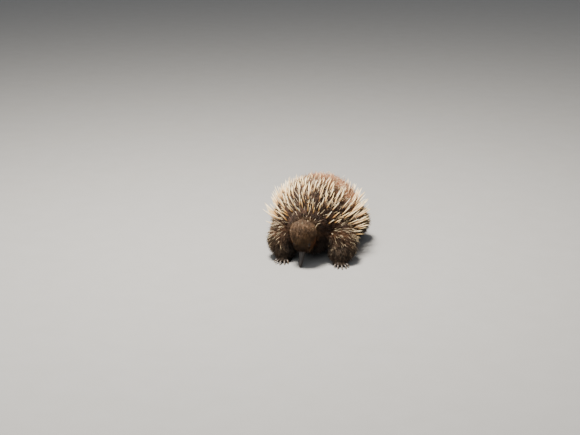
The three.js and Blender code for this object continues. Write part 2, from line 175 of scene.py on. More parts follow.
def trunk_point(end, turn, proud=0.0):
    """A place on the trunk: end runs from -1 at the neck to 1 at the rump, and turn round it."""
    n = 2 / TRUNK_ROUND["end"]
    across = np.sqrt(np.clip(1 - end**2, 0, None)) ** n
    reach = np.where(end < 0, TRUNK["front"], TRUNK["rear"]) + proud
    level = TRUNK["level"] + TRUNK["front_rise"] * np.clip(-end, 0, None) ** 2
    upward = np.sin(turn) > 0
    power = np.where(upward, 2 / TRUNK_ROUND["back"], 2 / TRUNK_ROUND["belly"])
    high = np.where(upward, TRUNK["up"], TRUNK["down"]) + proud
    return np.stack([
        (TRUNK["half_width"] + proud) * across * signed_power(np.cos(turn), power),
        TRUNK["middle"] + reach * signed_power(end, n),
        level + high * across * signed_power(np.sin(turn), power),
    ], axis=-1)


def head_point(end, turn):
    n = 2 / HEAD_ROUND
    across = np.sqrt(np.clip(1 - end**2, 0, None)) ** n * (1 + HEAD_TAPER * end)
    reach = np.where(end < 0, HEAD["front"], HEAD["rear"])
    high = np.where(np.sin(turn) > 0, HEAD["up"], HEAD["down"])
    return on_head(np.stack([
        HEAD["half_width"] * across * np.cos(turn),
        reach * signed_power(end, n),
        high * across * np.sin(turn),
    ], axis=-1))


def curve_at(places, share):
    """Places and directions at shares of the length of a smooth curve through places."""
    inner = np.array(places, float)
    points = np.concatenate([[2 * inner[0] - inner[1]], inner, [2 * inner[-1] - inner[-2]]])
    step = np.asarray(share) * (len(inner) - 1)
    i = np.clip(np.floor(step).astype(int), 0, len(inner) - 2)
    t = (step - i)[..., None]
    a, b, c, d = (points[i + k] for k in range(4))
    along, bend, twist = c - a, 2 * a - 5 * b + 4 * c - d, 3 * b - a - 3 * c + d
    place = b + (along * t + bend * t**2 + twist * t**3) / 2
    return place, normalized(along + 2 * bend * t + 3 * twist * t**2)


def tube_point(places, sizes, end_round=5, flat=1.0):
    """The surface of a form along a smooth curve, with a half width at each of its places."""
    def point(end, turn):
        share = (end + 1) / 2
        place, tangent = curve_at(places, share)
        lift = normalized(np.cross(tangent, [1.0, 0.0, 0.0]))
        side = np.cross(lift, tangent)
        size = np.interp(share, np.linspace(0, 1, len(sizes)), sizes)
        across = (size * (1 - np.abs(end) ** end_round) ** (1 / end_round))[..., None]
        turn = turn[..., None]
        return place + side * across * np.cos(turn) + lift * across * flat * np.sin(turn)
    return point


def beak_point(end, turn):
    shares = np.array([0, 0.35, 0.7, 1])
    zeros = np.zeros(len(shares))
    ys = BEAK["root"] - BEAK["length"] * shares
    zs = BEAK["sink"] + BEAK["rise"] * shares**2
    return on_head(tube_point(np.stack([zeros, ys, zs], 1), BEAK["sizes"], end_round=4)(end, turn))


def ball_point(radii):
    """The surface of a ball with its own radius each way."""
    def point(end, turn):
        across = np.sqrt(np.clip(1 - end**2, 0, None))
        return np.stack([across * np.cos(turn), end, across * np.sin(turn)], -1) * np.array(radii)
    return point


def chest_point(end, turn):
    return ball_point(CHEST["radii"])(end, turn) + CHEST["place"]


def foot_point(limb):
    size = ball_point((FOOT["half_width"], FOOT["half_length"], FOOT["height"]))

    def point(end, turn):
        points = size(end, turn) + [0, 0, FOOT["centre"]]
        points[..., 2] = np.maximum(points[..., 2], 0)
        return turned(points, limb["foot"], 0, limb["heading"])
    return point


def toe_point(limb, turn_out):
    size = ball_point((TOE["half_width"], TOE["half_length"], TOE["height"]))

    def point(end, turn):
        points = size(end, turn) + [0, -TOE["reach"], 0]
        points = turned(points, (0, 0, CLAW["height"] - 1), 0, turn_out)
        points[..., 2] = np.maximum(points[..., 2], 0)
        return turned(points, limb["foot"], 0, limb["heading"])
    return point


# Meshes

def grid_mesh(point, around, along):
    """The corners and triangles of a closed form whose surface is point(end, turn)."""
    ends = -np.cos(np.linspace(0, math.pi, along + 1))[1:-1]
    turns = np.linspace(0, 2 * math.pi, around, endpoint=False)
    rings = point(*np.meshgrid(ends, turns, indexing="ij")).reshape(-1, 3)
    poles = point(np.array([-1.0, 1.0]), np.zeros(2))
    near = np.arange(around)
    far = (near + 1) % around
    count = (along - 1) * around
    last = count - around
    triangles = [np.stack([near, far, np.full(around, count)], 1)]
    for ring in range(0, last, around):
        a, b, c, d = ring + near, ring + far, ring + around + far, ring + around + near
        triangles += [np.stack([a, d, c], 1), np.stack([a, c, b], 1)]
    triangles.append(np.stack([last + far, last + near, np.full(around, count + 1)], 1))
    return np.concatenate([rings, poles]), np.concatenate(triangles)


def joined(meshes):
    """Several (corners, triangles) as one."""
    start = np.cumsum([0] + [len(points) for points, _ in meshes[:-1]])
    points = np.concatenate([points for points, _ in meshes])
    return points, np.concatenate([triangles + s for (_, triangles), s in zip(meshes, start)])


def mesh_object(name, points, triangles, material):
    mesh = bpy.data.meshes.new(name)
    mesh.vertices.add(len(points))
    mesh.vertices.foreach_set("co", ((points + OFFSET) * MM).astype(np.float32).ravel())
    mesh.loops.add(triangles.size)
    mesh.loops.foreach_set("vertex_index", triangles.astype(np.int32).ravel())
    mesh.polygons.add(len(triangles))
    mesh.polygons.foreach_set("loop_start", np.arange(0, triangles.size, 3, dtype=np.int32))
    mesh.update(calc_edges=True)
    mesh.shade_smooth()
    mesh.materials.append(material)
    made = bpy.data.objects.new(name, mesh)
    bpy.context.scene.collection.objects.link(made)
    return made


def add_values(piece, **values):
    """Gives each corner of a piece numbers that its material reads by name."""
    for key, numbers in values.items():
        layer = piece.data.attributes.new(key, "FLOAT", "POINT")
        layer.data.foreach_set("value", numbers.astype(np.float32))


def outward(points, triangles):
    """The triangles of a closed mesh, turned to face out."""
    a, b, c = (points[triangles[:, k]] for k in range(3))
    volume = np.sum(a * np.cross(b, c))
    return triangles if volume > 0 else triangles[:, ::-1]


def corners_of(piece):
    places = np.zeros(len(piece.data.vertices) * 3, np.float32)
    piece.data.vertices.foreach_get("co", places)
    return places.reshape(-1, 3) / MM - OFFSET


def set_corners(piece, points):
    piece.data.vertices.foreach_set("co", ((points + OFFSET) * MM).astype(np.float32).ravel())
    piece.data.update()


def remeshed(name, forms, voxel, smoothing):
    """One closed skin round several forms, as corners and triangles."""
    meshes = []
    for point, around, along in forms:
        points, triangles = grid_mesh(point, around, along)
        meshes.append((points, outward(points, triangles)))
    draft = mesh_object(name, *joined(meshes), None)
    remesh = draft.modifiers.new("remesh", "REMESH")
    remesh.mode = "VOXEL"
    remesh.voxel_size = voxel * MM
    smooth = draft.modifiers.new("smooth", "SMOOTH")
    smooth.iterations = smoothing
    triangulate = draft.modifiers.new("triangulate", "TRIANGULATE")
    triangulate.quad_method = "SHORTEST_DIAGONAL"
    evaluated = draft.evaluated_get(bpy.context.evaluated_depsgraph_get())
    mesh = bpy.data.meshes.new_from_object(evaluated)
    places = np.zeros(len(mesh.vertices) * 3, np.float32)
    mesh.vertices.foreach_get("co", places)
    corners = np.zeros(len(mesh.loops), np.int32)
    mesh.loops.foreach_get("vertex_index", corners)
    bpy.data.objects.remove(draft)
    bpy.data.meshes.remove(mesh)
    return places.reshape(-1, 3) / MM - OFFSET, corners.reshape(-1, 3)


# Materials

def linear(red, green, blue):
    """A colour given as it shows on a screen, from 0 to 255, as Blender's linear colour."""
    parts = np.array([red, green, blue]) / 255
    return (*np.where(parts < 0.04045, parts / 12.92, ((parts + 0.055) / 1.055) ** 2.4), 1.0)


# The coat's colours. Some stand in for light and shade: the fur among the front spines and under the chest is
# painted shade, the back's tan is partly painted sunlight, and the low fur and the muzzle are partly painted shade.
COLOURS = {
    "fur": linear(82, 57, 38),
    "fur in spine shade": linear(50, 33, 21),
    "sunlit back fur": linear(152, 108, 77),
    "low fur and shade": linear(67, 54, 42),
    "head fur": linear(77, 57, 36),
    "muzzle fur and shade": linear(43, 28, 17),
    "cheek fur": linear(108, 61, 28),
    "underside shade": linear(26, 19, 14),
    "bristle": linear(210, 188, 150),
}


class Nodes:
    """A material's nodes, made by short calls."""

    def __init__(self, name):
        self.material = bpy.data.materials.new(name)
        self.material.use_nodes = True
        self.tree = self.material.node_tree
        self.shader = self.tree.nodes["Principled BSDF"]

    def new(self, kind, inputs=(), **settings):
        node = self.tree.nodes.new(kind)
        for key, value in settings.items():
            setattr(node, key, value)
        for key, value in dict(inputs).items():
            self.put(node.inputs[key], value)
        return node

    def put(self, socket, value):
        if isinstance(value, bpy.types.NodeSocket):
            self.tree.links.new(value, socket)
        else:
            socket.default_value = value

    def math(self, operation, a, b=0.0):
        return self.new("ShaderNodeMath", {0: a, 1: b}, operation=operation).outputs[0]

    def ramp(self, value, low, high):
        """0 below low, 1 above high, and smooth between."""
        inputs = {"Value": value, "From Min": low, "From Max": high}
        return self.new("ShaderNodeMapRange", inputs, interpolation_type="SMOOTHSTEP").outputs[0]

    def mix(self, share, a, b, blend="MIX"):
        node = self.new("ShaderNodeMix", data_type="RGBA", blend_type=blend)
        self.put(node.inputs["Factor"], share)
        colours = [s for s in node.inputs if s.type == "RGBA"]
        self.put(colours[0], a)
        self.put(colours[1], b)
        return next(s for s in node.outputs if s.type == "RGBA")

    def noise(self, size, detail=2.0):
        """Noise whose grains are about so many millimetres across."""
        inputs = {"Vector": self.place(), "Scale": 1 / size, "Detail": detail}
        return self.new("ShaderNodeTexNoise", inputs).outputs["Fac"]

    def bump(self, height, strength, distance):
        inputs = {"Height": height, "Strength": strength, "Distance": distance}
        self.put(self.shader.inputs["Normal"], self.new("ShaderNodeBump", inputs).outputs[0])

    def place(self):
        """Where a point lies on the animal, in millimetres in its own frame."""
        position = self.new("ShaderNodeNewGeometry").outputs["Position"]
        scaled = self.new("ShaderNodeVectorMath", {0: position, 1: (1 / MM,) * 3}, operation="MULTIPLY")
        moved = self.new("ShaderNodeVectorMath", {0: scaled.outputs[0], 1: tuple(-OFFSET)}, operation="ADD")
        return moved.outputs[0]

    def near(self, place, centre, inner, outer):
        """1 within the inner distance of a centre on the animal, and 0 beyond the outer one."""
        inputs = {0: place, 1: tuple(centre)}
        gap = self.new("ShaderNodeVectorMath", inputs, operation="DISTANCE").outputs["Value"]
        return self.ramp(gap, outer, inner)

    def finish(self, colour, roughness):
        self.put(self.shader.inputs["Base Color"], colour)
        self.put(self.shader.inputs["Roughness"], roughness)
        return self.material


def markings_and_painted_light(nodes):
    """The colour of the coat at each place, with painted shade and painted sunlight mixed in: the skin and every
    tuft share it.
    """
    place = nodes.place()
    xyz = nodes.new("ShaderNodeSeparateXYZ", {0: place})
    x, y, z = (xyz.outputs[axis] for axis in "XYZ")
    patches = nodes.noise(45.0, 3.0)
    aside = nodes.math("ABSOLUTE", x)
    # Painted sunlight: the back's tan fur, partly its own colour, is laid on lighter higher up the back and further
    # forward on the animal's left side, where the light falls.
    behind = nodes.math("ADD", y, nodes.math("MULTIPLY", x, 0.5))
    rear = nodes.math("MULTIPLY", nodes.ramp(behind, -5, 80), nodes.ramp(z, 85, 150))
    # Painted shade: the fur among the spines of the nape and the front of the back is darkened as if shaded by them.
    ahead = nodes.math("ADD", y, nodes.math("MULTIPLY", aside, -0.5))
    fore = nodes.math("MULTIPLY", nodes.ramp(ahead, 20, -60), nodes.ramp(z, 65, 95))
    colour = nodes.mix(fore, COLOURS["fur"], COLOURS["fur in spine shade"])
    colour = nodes.mix(rear, colour, COLOURS["sunlit back fur"])
    # Darker towards the bottom: partly the lower flanks' own grey-brown, partly painted shade.
    colour = nodes.mix(nodes.ramp(z, 80, 30), colour, COLOURS["low fur and shade"])
    # Painted shade: the fur of the chest and throat, under the head and between the forelegs, is nearly black.
    under = nodes.math("MULTIPLY", nodes.ramp(aside, 58, 42), nodes.ramp(z, 95, 55))
    colour = nodes.mix(nodes.math("MULTIPLY", under, 0.9), colour, COLOURS["underside shade"])
    brow = nodes.near(place, on_head([0, -2, 6]), 34, 48)
    face = nodes.near(place, on_head([0, -28, 2]), 28, 38)
    brow = nodes.math("MULTIPLY", brow, 0.6)
    colour = nodes.mix(nodes.math("MAXIMUM", brow, face), colour, COLOURS["head fur"])
    # Darker round the root of the beak: partly dark skin showing through the thinning hair, partly painted shade
    # under the lowered head.
    muzzle = nodes.near(place, on_head([0, -46, 2]), 8, 30)
    colour = nodes.mix(muzzle, colour, COLOURS["muzzle fur and shade"])
    for side in (-1, 1):
        cheek = nodes.near(place, on_head([side * 22, -18, -8]), 5, 23)
        colour = nodes.mix(nodes.math("MULTIPLY", cheek, 0.7), colour, COLOURS["cheek fur"])
    light = nodes.math("MULTIPLY_ADD", patches, 0.7)
    light.node.inputs[2].default_value = 0.65
    grey = nodes.new("ShaderNodeCombineColor", {0: light, 1: light, 2: light}).outputs[0]
    return nodes.mix(1.0, colour, grey, "MULTIPLY")


def value_of(nodes, name):
    return nodes.new("ShaderNodeAttribute", attribute_name=name).outputs["Fac"]


def tinted(nodes, colour, low, high, share):
    """A colour darkened or lightened from low to high as a share goes from 0 to 1."""
    light = nodes.new("ShaderNodeMapRange", {"Value": share, "To Min": low, "To Max": high}).outputs[0]
    grey = nodes.new("ShaderNodeCombineColor", {0: light, 1: light, 2: light}).outputs[0]
    return nodes.mix(1.0, colour, grey, "MULTIPLY")


def fur_material():
    nodes = Nodes("fur")
    coat = nodes.mix(value_of(nodes, "pale"), markings_and_painted_light(nodes), COLOURS["bristle"])
    # Darker towards each tuft's root: partly the hair's own darker base, partly painted shade deep in the coat.
    colour = tinted(nodes, coat, 0.22, 1.4, nodes.math("POWER", value_of(nodes, "tip"), 0.9))
    colour = tinted(nodes, colour, 0.35, 1.8, value_of(nodes, "shade"))
    nodes.shader.inputs["Specular IOR Level"].default_value = 0.25
    return nodes.finish(colour, 0.62)


def colour_ramp(nodes, value, stops):
    node = nodes.new("ShaderNodeValToRGB", {0: value})
    elements = node.color_ramp.elements
    while len(elements) < len(stops):
        elements.new(0.5)
    for element, (position, colour) in zip(elements, stops):
        element.position = position
        element.color = colour
    return node.outputs[0]


def spine_material():
    nodes = Nodes("spine")
    warm = [
        (0.0, linear(34, 22, 14)),
        (0.34, linear(70, 46, 27)),
        (0.54, linear(190, 136, 72)),
        (0.72, linear(234, 182, 104)),
        (0.94, linear(247, 216, 154)),
        (1.0, linear(160, 128, 92)),
    ]
    pale = [
        (0.0, linear(34, 22, 14)),
        (0.32, linear(78, 54, 34)),
        (0.48, linear(208, 160, 96)),
        (0.64, linear(249, 222, 168)),
        (0.94, linear(254, 243, 212)),
        (1.0, linear(180, 152, 118)),
    ]
    streaks = nodes.noise(1.2)
    along = nodes.math("ADD", value_of(nodes, "tip"), nodes.math("MULTIPLY", streaks, 0.08))
    along = nodes.math("SUBTRACT", along, 0.04)
    shade = value_of(nodes, "shade")
    colour = nodes.mix(shade, colour_ramp(nodes, along, warm), colour_ramp(nodes, along, pale))
    return nodes.finish(colour, 0.38)


def skin_material():
    """Skin with the coat's marks, painted shade and painted sunlight under the fur, and bare and dark on the beak
    and toes.
    """
    nodes = Nodes("skin")
    under_coat = tinted(nodes, markings_and_painted_light(nodes), 0.35, 0.55, nodes.noise(2.5))
    bare = nodes.mix(nodes.noise(6.0, 4.0), linear(24, 19, 16), linear(46, 37, 31))
    colour = nodes.mix(value_of(nodes, "bare"), under_coat, bare)
    pores = nodes.math("ADD", nodes.noise(0.5, 3.0), nodes.noise(1.6))
    nodes.bump(pores, 0.35, 0.0006)
    return nodes.finish(colour, 0.5)


def claw_material():
    nodes = Nodes("claw")
    along = value_of(nodes, "tip")
    stops = [(0.0, linear(30, 24, 19)), (0.6, linear(46, 37, 29)), (0.85, linear(72, 59, 45)), (1.0, linear(112, 94, 71))]
    grain = nodes.noise(0.8, 4.0)
    colour = tinted(nodes, colour_ramp(nodes, along, stops), 0.75, 1.2, grain)
    nodes.bump(grain, 0.3, 0.0004)
    return nodes.finish(colour, 0.42)


def eye_material():
    nodes = Nodes("eye")
    colour = nodes.mix(nodes.noise(1.0), linear(14, 10, 8), linear(30, 20, 14))
    nodes.shader.inputs["Specular IOR Level"].default_value = 0.35
    return nodes.finish(colour, 0.09)


def floor_material():
    nodes = Nodes("floor")
    colour = nodes.mix(nodes.noise(60.0, 5.0), linear(136, 134, 130), linear(142, 140, 137))
    return nodes.finish(colour, 0.85)


# The skin

def ring_triangles(around, section):
    """The triangles of a ring of so many sections, with so many corners in each."""
    index = np.arange(around * section).reshape(around, section)
    next_a, next_b = np.roll(index, -1, 0), np.roll(index, -1, 1)
    next_both = np.roll(next_a, -1, 1)
    quads = [np.stack([index, next_a, next_both], -1), np.stack([index, next_both, next_b], -1)]
    return np.concatenate([quad.reshape(-1, 3) for quad in quads])


def ring_mesh(centre, facing, upright, radii, thick):
    """A ring that lies on a surface: its middle, the way it faces, its upright and its two radii."""
    facing = normalized(np.array(facing, float))
    upright = normalized(np.array(upright, float) - facing * np.dot(facing, upright))
    side = np.cross(upright, facing)
    around, section = 36, 10
    a, b = np.meshgrid(
        np.linspace(0, 2 * math.pi, around, endpoint=False),
        np.linspace(0, 2 * math.pi, section, endpoint=False), indexing="ij",
    )
    a, b = a[..., None], b[..., None]
    outwards = side * np.cos(a) + upright * np.sin(a)
    path = np.array(centre) + side * radii[0] * np.cos(a) + upright * radii[1] * np.sin(a)
    points = path + thick * (outwards * np.cos(b) + facing * np.sin(b))
    points = on_head(points.reshape(-1, 3))
    return points, outward(points, ring_triangles(around, section))


def lids_mesh(centre, facing, upright):
    """The two lids of an eye as one ring on its ball, which leaves an opening pointed at its corners."""
    facing = normalized(np.array(facing, float))
    upright = normalized(np.array(upright, float) - facing * np.dot(facing, upright))
    side = np.cross(upright, facing)
    around, section = 48, 14
    a, b = np.meshgrid(
        np.linspace(0, 2 * math.pi, around, endpoint=False),
        np.linspace(0, 2 * math.pi, section, endpoint=False), indexing="ij",
    )
    lid = np.where(np.sin(a) > 0, LIDS["above"], LIDS["below"])
    edge = mix(LIDS["corner"], lid, np.abs(np.sin(a)) ** 0.8)
    polar = np.radians(mix(edge, LIDS["root"], 0.5 - 0.5 * np.cos(b)))
    folds = 1 + 0.22 * np.cos(polar * 18)
    height = EYE["radius"] + 0.1 + LIDS["thick"] * np.clip(np.sin(b), 0, None) ** 0.6 * folds
    around_way = side * np.cos(a)[..., None] + upright * np.sin(a)[..., None]
    ways = facing * np.cos(polar)[..., None] + around_way * np.sin(polar)[..., None]
    points = on_head((np.array(centre) + ways * height[..., None]).reshape(-1, 3))
    return points, outward(points, ring_triangles(around, section))


def face_rings():
    """The lids and the rims of the ears."""
    rings = []
    for side in (-1, 1):
        x, y, z = EYE["place"]
        rings.append(lids_mesh((side * x, y, z), (side * x, y * 0.35, z * 0.9), (0, 0.5, 1)))
        x, y, z = EAR["place"]
        rings.append(ring_mesh((side * x, y, z), (side, 0, 0), (0, 0, 1), (EAR["depth"], EAR["height"]),
                               EAR["thick"]))
    return rings


def with_mouth_and_nostrils(points):
    """Presses the slit of the mouth and the two nostrils into the tip of the beak."""
    x, y, z = head_frame(points).T
    share = (BEAK["root"] - y) / BEAK["length"]
    middle = BEAK["sink"] + BEAK["rise"] * np.clip(share, 0, 1) ** 2
    inwards = normalized(on_head(np.stack([np.zeros(len(y)), y, middle], 1)) - points)
    height = z - middle
    start = 1 - MOUTH["length"] / BEAK["length"]
    slit = np.exp(-(((height + MOUTH["down"]) / MOUTH["half_height"]) ** 2))
    depth = MOUTH["depth"] * slit * smooth_step(start - 0.03, start, share)
    for side in (-1, 1):
        gap = np.hypot((share - NOSTRIL["share"]) * BEAK["length"], x - side * NOSTRIL["out"])
        depth = depth + NOSTRIL["depth"] * np.exp(-((gap / NOSTRIL["radius"]) ** 2)) * (height > 0)
    return points + inwards * depth[:, None]


def bareness(points):
    """1 where the skin is bare, on the beak and toes and round the eyes and ears, and 0 where fur grows."""
    x, y, z = head_frame(points).T
    on_beak = smooth_step(-37, -47, y) * (np.hypot(x, z) < 24)
    bare = [on_beak, smooth_step(8, 4, points[:, 2])]
    for side in (-1, 1):
        for organ in (EYE, EAR):
            centre = on_head([side * organ["place"][0], *organ["place"][1:]])
            gaps = np.linalg.norm(points - centre, axis=1) / organ["bare"]
            bare.append(smooth_step(1.0, 0.75, gaps))
    return np.maximum.reduce(bare)


def make_skin(material):
    """The skin, and the trees that find places on its two shells, the body's and the head's."""
    body_forms = [(trunk_point, 96, 72), (chest_point, 48, 36), (tube_point(**TAIL), 40, 24)]
    for name, limb in LIMBS.items():
        body_forms.append((tube_point(limb["places"], limb["sizes"]), 40, 32))
        body_forms.append((foot_point(limb), 32, 24))
        for turn_out in CLAWS[name[:4]]["turns"]:
            way = turn_out if name.endswith("right") else -turn_out
            body_forms.append((toe_point(limb, way), 16, 12))
    body = remeshed("body_draft", body_forms, 2.2, 4)
    head_forms = [(head_point, 64, 48), (tube_point(**NECK), 48, 32), (beak_point, 32, 48)]
    head_points, head_triangles = remeshed("head_draft", head_forms, 1.1, 4)
    head = (with_mouth_and_nostrils(head_points), head_triangles)
    points, triangles = joined([body, head, *face_rings()])
    points[points[:, 2] < 0.9, 2] = 0
    skin = mesh_object("skin", points, triangles, material)
    add_values(skin, bare=bareness(points))
    shells = [BVHTree.FromPolygons(((p + OFFSET) * MM).tolist(), t.tolist()) for p, t in (body, head)]
    return skin, shells


# The coat

def surface_directions(point, end, turn):
    """The directions out of a form at places on it."""
    small = 1e-3
    along = point(np.clip(end + small, -1, 1), turn) - point(np.clip(end - small, -1, 1), turn)
    return normalized(np.cross(along, point(end, turn + small) - point(end, turn - small)))


def flattened(directions, outs):
    """The part of each direction that runs along the surface."""
    return normalized(directions - outs * dot(directions, outs))


def leaning(outs, lies, degrees, stray):
    """Directions that lean from upright towards a lie, and stray a little."""
    angle = np.radians(degrees)[..., None]
    strayed = random.normal(0, stray, outs.shape)
    return normalized(outs * np.cos(angle) + lies * np.sin(angle) + strayed)


def scattered(point, count, density):
    """Places spread over a form in proportion to its area and to the density there, as ends and turns."""
    polar = np.linspace(0, math.pi, 161)
    turns = np.linspace(0, 2 * math.pi, 201)
    corners = point(*np.meshgrid(-np.cos(polar), turns, indexing="ij"))
    sides = np.cross(corners[1:, :-1] - corners[:-1, :-1], corners[:-1, 1:] - corners[:-1, :-1])
    areas = np.linalg.norm(sides, axis=-1) * density(corners[:-1, :-1])
    total = np.cumsum(areas.ravel())
    picks = (np.arange(count) + random.random(count)) / count * total[-1]
    cells = np.minimum(np.searchsorted(total, picks), len(total) - 1)
    rows, columns = np.divmod(cells, len(turns) - 1)
    end = -np.cos(polar[rows] + random.random(count) * (polar[1] - polar[0]))
    turn = turns[columns] + random.random(count) * turns[1]
    return np.clip(end, -0.9999, 0.9999), turn


def rooted(end, turn, form, skins):
    """The places that lie on the form's own skin and outside the other one, moved on to it, with the way
    out there."""
    own, other = skins if form["skin"] == "body" else skins[::-1]
    outs, places, kept = [], [], []
    for i, place in enumerate(form["point"](end, turn)):
        near, normal, _, gap = own.find_nearest(Vector((place + OFFSET) * MM))
        beside, way, _, _ = other.find_nearest(near)
        if gap < REACH * MM and (near - beside).dot(way) > 0:
            kept.append(i)
            places.append(np.array(near) / MM - OFFSET)
            outs.append(normal)
    return np.array(kept), np.array(places), np.array(outs)


def bake_places(end, turn, rectangle):
    """The place of each root on the bake map: the form's own unwrap, in its rectangle of the map."""
    u0, v0, u1, v1 = rectangle
    across = mix(u0 + PATCH, u1 - PATCH, (turn / (2 * math.pi)) % 1)
    return np.stack([across, mix(v0 + PATCH, v1 - PATCH, np.arccos(-end) / math.pi)], -1)


PATCH = 0.003
REACH = 3.0
STRAYS = 0.05


def strand_mesh(name, paths, widths, outs, roll, flat, sides, maps, values, material):
    """Closed strands, pointed at both ends. paths are (strand, step, xyz), and widths are half widths at
    the steps between the ends. maps are the roots' places on the bake map, and values are what the
    material reads on each strand."""
    count, steps = paths.shape[:2]
    rings = steps - 2
    tangents = normalized(paths[:, 2:] - paths[:, :-2])
    side = normalized(np.cross(tangents, outs[:, None, :]))
    lift = np.cross(side, tangents)
    spin = roll[:, None, None]
    side, lift = side * np.cos(spin) + lift * np.sin(spin), lift * np.cos(spin) - side * np.sin(spin)
    angle = np.linspace(0, 2 * math.pi, sides, endpoint=False)[None, None, :, None]
    wide = widths[:, :, None, None]
    ring = paths[:, 1:-1, None] + wide * (side[:, :, None] * np.cos(angle) + lift[:, :, None] * flat * np.sin(angle))
    points = np.concatenate([ring.reshape(count, -1, 3), paths[:, :1], paths[:, -1:]], 1)
    near, far = np.arange(sides), (np.arange(sides) + 1) % sides
    root, tip = rings * sides, rings * sides + 1
    one = [np.stack([far, near, np.full(sides, root)], 1)]
    for start in range(0, (rings - 1) * sides, sides):
        a, b, c, d = start + near, start + far, start + sides + far, start + sides + near
        one += [np.stack([a, b, c], 1), np.stack([a, c, d], 1)]
    last = (rings - 1) * sides
    one.append(np.stack([last + near, last + far, np.full(sides, tip)], 1))
    one = outward(points[0], np.concatenate(one))
    per = rings * sides + 2
    triangles = (one[None] + (np.arange(count) * per)[:, None, None]).reshape(-1, 3)
    piece = mesh_object(name, points.reshape(-1, 3), triangles, material)
    shares = np.linspace(0, 1, steps)
    tips = np.concatenate([np.repeat(shares[1:-1], sides), [0.0, 1.0]])
    spread = np.concatenate([np.tile(np.arange(sides) / sides, rings), [0.5, 0.5]])
    layout = np.stack([spread - 0.5, tips - 0.5], 1) * PATCH
    uv = (maps[:, None] + layout[None]).reshape(-1, 2)
    layer = piece.data.uv_layers.new(name="OFBake")
    layer.data.foreach_set("uv", uv[triangles.ravel()].astype(np.float32).ravel())
    add_values(piece, tip=np.tile(tips, count), **{key: np.repeat(v, per) for key, v in values.items()})
    return piece


def hair_paths(roots, outs, first, last, lengths, sunk, steps):
    """Curved paths that leave the root in one direction and end in another."""
    share = np.linspace(0, 1, steps)[None, :, None]
    long = lengths[:, None, None]
    paths = roots[:, None] + long * (first[:, None] * share + (last - first)[:, None] * share**2 / 2)
    paths[:, 0] -= outs * sunk
    return paths


def waves(places, length, seed):
    """Slow random turns over the coat, so that its tufts part and gather."""
    local = np.random.default_rng(seed)
    total = np.zeros_like(places)
    for _ in range(5):
        way = normalized(local.normal(size=3)) * 2 * math.pi / (length * local.uniform(0.7, 1.5))
        total += np.sin(places @ way + local.uniform(0, 2 * math.pi))[:, None] * local.normal(size=3)
    return total / math.sqrt(5)


MOST_TRIANGLES = 190000


def coat_pieces(name, form, count, look, skins, material):
    """The tufts of a form, in as many pieces as keep each under the most triangles."""
    end, turn = scattered(form["point"], count, form["density"])
    kept, roots, outs = rooted(end, turn, form, skins)
    end, turn = end[kept], turn[kept]
    lies, lengths, leans, widths = look(roots, outs)
    parting = waves(roots, 26, 3) * 0.28 + waves(roots, 9, 4) * 0.24
    lies = flattened(lies + parting + random.normal(0, 0.1, lies.shape), outs)
    stray = random.random(len(lengths)) < STRAYS
    lengths = lengths * random.uniform(0.75, 1.15, len(lengths)) * np.where(stray, 1.12, 1)
    leans = leans - np.where(stray, 12, 0)
    lowest = mix(75, 30, smooth_step(45, 65, np.abs(roots[:, 0])))
    pale = random.random(len(lengths)) < form["bristles"] * smooth_step(lowest, lowest + 45, roots[:, 2])
    lengths = lengths * np.where(pale, 1.25, 1)
    widths = widths * np.where(pale, 0.75, 1)
    first = leaning(outs, lies, leans - 12 + random.normal(0, 7, len(leans)), 0.06)
    last = leaning(outs, lies, np.minimum(leans + 16, 88), 0.08)
    last = normalized(last + [0, 0, -0.12])
    steps = form["steps"]
    paths = hair_paths(roots, outs, first, last, lengths, 1.2, steps)
    paths[..., 2] = np.maximum(paths[..., 2], 1.2)
    profile = np.interp(np.linspace(0, 1, steps)[1:-1], [0, 0.3, 0.7, 1], [0.8, 1.0, 0.75, 0.3])
    half = widths[:, None] * profile[None] * random.uniform(0.7, 1.2, len(widths))[:, None]
    roll = random.uniform(-0.7, 0.7, len(widths))
    maps = bake_places(end, turn, form["map"])
    streaks = waves(roots * [1.0, 0.4, 0.4], 7, 5)[:, 0] + 0.6 * waves(roots, 18, 6)[:, 0]
    shades = np.clip(mix(random.random(len(widths)), 0.5 + 0.5 * streaks, form["streaks"]), 0, 1)
    per = 6 + 6 * (steps - 3)
    parts = math.ceil(len(roots) * per / MOST_TRIANGLES)
    made = []
    for i, rows in enumerate(np.array_split(np.arange(len(roots)), parts)):
        label = name if parts == 1 else f"{name}_{i + 1}"
        values = dict(shade=shades[rows], pale=pale[rows])
        piece = strand_mesh(label, paths[rows], half[rows], outs[rows], roll[rows], 0.45, 3, maps[rows],
                            values, material)
        made.append(piece)
    return made


def trunk_look(roots, outs):
    """The trunk's coat: thick fur between the spines, a longer fringe on the flanks, and short fur below."""
    y, z = roots[:, 1], roots[:, 2]
    back = flattened(np.array([0.0, 1.0, 0.0]), outs)
    down = flattened(np.array([0.0, 0.9, -1.0]), outs)
    low = smooth_step(84, 56, z)
    rump = smooth_step(110, 150, y)
    lies = normalized(mix(back, down, np.maximum(low, 0.7 * rump)[:, None]))
    rear = smooth_step(-70, 60, y) * smooth_step(60, 120, z)
    fringe = low * smooth_step(14, 28, z)
    belly = smooth_step(-0.5, -0.8, outs[:, 2])
    lengths = mix(20, 36, np.maximum(rear, fringe * smooth_step(-90, -50, y)))
    lengths = mix(lengths, 14, belly)
    lengths = np.where(y < -88, np.minimum(lengths, 16), lengths)
    leans = mix(mix(50, 66, rear), 44, fringe)
    return lies, lengths, leans, mix(0.72, 0.58, rear)


def trunk_density(points):
    """More tufts on the fringe and the rear of the back, and few below, where none show."""
    y, z = points[..., 1], points[..., 2]
    rear = smooth_step(-40, 60, y) * smooth_step(90, 130, z)
    return 1.0 + 0.7 * rear + 0.5 * smooth_step(75, 55, z) - 1.25 * smooth_step(36, 27, z)


